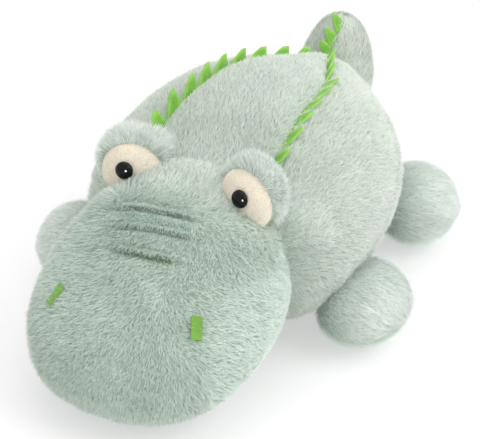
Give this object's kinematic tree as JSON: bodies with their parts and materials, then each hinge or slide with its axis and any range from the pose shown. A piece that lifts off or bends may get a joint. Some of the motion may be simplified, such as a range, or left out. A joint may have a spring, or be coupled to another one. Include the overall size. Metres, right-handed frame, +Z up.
{
  "type": "plush crocodile",
  "caption": "Stuffed plush crocodile lying on its belly, with a broad muzzle, domed eyes, felt back spikes, puffy feet and a curled-up tail.",
  "frame": {"origin": "on the surface that the toy lies on, under the middle of its bounding box", "axes": "+Z up; the nose points along -Y and the tail along +Y; the animal's left side is +X"},
  "size_m": [0.3043, 0.4295, 0.1681],
  "materials": {
    "mint_plush": "short-pile plush, pale mint, matt with a soft sheen",
    "mint_plush_tail": "short-pile plush, pale mint, a shade lighter",
    "mint_plush_lid": "longer fluffy plush, very pale mint",
    "cream_plush": "fine short-nap plush, warm cream",
    "green_felt": "stiff matt felt, leaf green",
    "nostril_felt": "stiff matt felt, darker leaf green",
    "green_thread": "embroidery thread, dark green",
    "black_gloss_plastic": "high gloss, near black",
    "white_plastic": "plain moulded white plastic"
  },
  "bodies": {
    "trunk": {"body": "mint_plush", "head": "mint_plush", "eyelid_left": "mint_plush_lid", "eyelid_right": "mint_plush_lid", "eye_face_left": "cream_plush", "eye_face_right": "cream_plush", "safety_eye_left": "black_gloss_plastic", "safety_eye_right": "black_gloss_plastic", "lock_washer_left": "white_plastic", "lock_washer_right": "white_plastic", "nostril_tab_left": "nostril_felt", "nostril_tab_right": "nostril_felt", "tuck_thread": "green_thread", "back_spikes_left": "green_felt", "back_spikes_right": "green_felt"},
    "tail": {"tail": "mint_plush_tail", "tail_spikes": "green_felt"},
    "foot_front_left": {"foot_front_left": "mint_plush"},
    "foot_front_right": {"foot_front_right": "mint_plush"},
    "foot_rear_left": {"foot_rear_left": "mint_plush"},
    "foot_rear_right": {"foot_rear_right": "mint_plush"}
  },
  "joints": [
    {"name": "tail_wag", "type": "hinge", "parent": "trunk", "child": "tail", "pos_m": [0, 0.17535, 0.09612], "axis": [0, -0.754, 0.6568], "range_deg": [-20, 20], "stiffness_Nm_per_rad": 0.03},
    {"name": "foot_front_left_flex", "type": "hinge", "parent": "trunk", "child": "foot_front_left", "pos_m": [0.08501, -0.00812, 0.026], "axis": [-0.0698, -0.9976, 0], "range_deg": [-20, 20], "stiffness_Nm_per_rad": 0.03},
    {"name": "foot_front_right_flex", "type": "hinge", "parent": "trunk", "child": "foot_front_right", "pos_m": [-0.08702, -0.02802, 0.026], "axis": [-0.515, 0.8572, 0], "range_deg": [-20, 20], "stiffness_Nm_per_rad": 0.03},
    {"name": "foot_rear_left_flex", "type": "hinge", "parent": "trunk", "child": "foot_rear_left", "pos_m": [0.06698, 0.12494, 0.026], "axis": [0.342, -0.9397, 0], "range_deg": [-20, 20], "stiffness_Nm_per_rad": 0.03},
    {"name": "foot_rear_right_flex", "type": "hinge", "parent": "trunk", "child": "foot_rear_right", "pos_m": [-0.06698, 0.12494, 0.026], "axis": [0.342, 0.9397, 0], "range_deg": [-20, 20], "stiffness_Nm_per_rad": 0.03}
  ]
}
